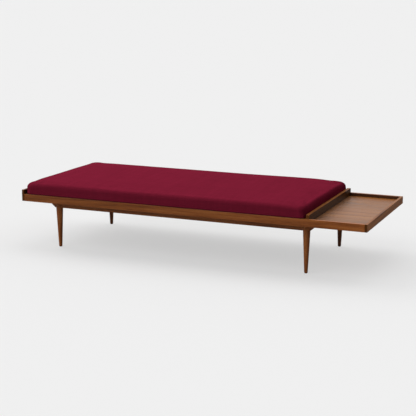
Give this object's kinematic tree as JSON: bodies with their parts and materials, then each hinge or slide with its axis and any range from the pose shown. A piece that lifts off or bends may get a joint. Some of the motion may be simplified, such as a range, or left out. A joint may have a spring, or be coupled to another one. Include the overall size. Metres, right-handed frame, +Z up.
{
  "type": "daybed",
  "caption": "Low walnut daybed with a loose wine-red upholstered mattress on slats, tapered round legs and a fixed plank tray at one end.",
  "frame": {"origin": "on the floor, at the middle of the whole outline seen from above", "axes": "+X along the bed towards the tray end, +Y towards the back, +Z up"},
  "size_m": [2.3, 0.888, 0.424],
  "materials": {
    "walnut": "satin",
    "inner_wood": "matte",
    "upholstery": "matte",
    "lining": "matte",
    "foam": "matte",
    "zip_tape": "matte",
    "zip_metal": "satin",
    "steel": "satin",
    "glide": "matte"
  },
  "bodies": {
    "frame": {"cross_beam_left": "inner_wood", "cross_beam_mid_left": "inner_wood", "cross_beam_mid_right": "inner_wood", "cross_beam_right": "inner_wood", "divider_board": "walnut", "end_board_left": "walnut", "end_board_right": "walnut", "foot_glide_front_left": "glide", "foot_glide_front_right": "glide", "foot_glide_rear_left": "glide", "foot_glide_rear_right": "glide", "leg_bolt_front_left": "steel", "leg_bolt_front_right": "steel", "leg_bolt_rear_left": "steel", "leg_bolt_rear_right": "steel", "leg_front_left": "walnut", "leg_front_right": "walnut", "leg_rear_left": "walnut", "leg_rear_right": "walnut", "side_rail_front": "walnut", "side_rail_rear": "walnut", "slat_1": "inner_wood", "slat_10": "inner_wood", "slat_11": "inner_wood", "slat_2": "inner_wood", "slat_3": "inner_wood", "slat_4": "inner_wood", "slat_5": "inner_wood", "slat_6": "inner_wood", "slat_7": "inner_wood", "slat_8": "inner_wood", "slat_9": "inner_wood", "slat_cleat_front": "inner_wood", "slat_cleat_rear": "inner_wood", "stretcher_left": "inner_wood", "stretcher_right": "inner_wood", "tray_bearer_inner": "walnut", "tray_bearer_mid": "walnut", "tray_bearer_outer": "walnut", "tray_plank_1": "walnut", "tray_plank_2": "walnut", "tray_plank_3": "walnut", "tray_plank_4": "walnut", "tray_plank_5": "walnut", "tray_plank_6": "walnut", "tray_plank_7": "walnut", "tray_plank_8": "walnut", "tray_plank_9": "walnut", "under_rail_front": "walnut", "under_rail_rear": "walnut", "wing_front_left": "walnut", "wing_front_right": "walnut", "wing_rear_left": "walnut", "wing_rear_right": "walnut"},
    "mattress": {"mattress_cover": "upholstery", "foam_core": "foam", "mattress_underside": "lining", "zip_tape": "zip_tape"},
    "zip_slider": {"zip_slider": "zip_metal"}
  },
  "joints": [
    {"name": "mattress_lift", "type": "slide", "parent": "frame", "child": "mattress", "axis": [0, 0, 1], "range_m": [0, 0.25]},
    {"name": "zip_slide", "type": "slide", "parent": "mattress", "child": "zip_slider", "axis": [1, 0, 0], "range_m": [0, 1.55]}
  ]
}
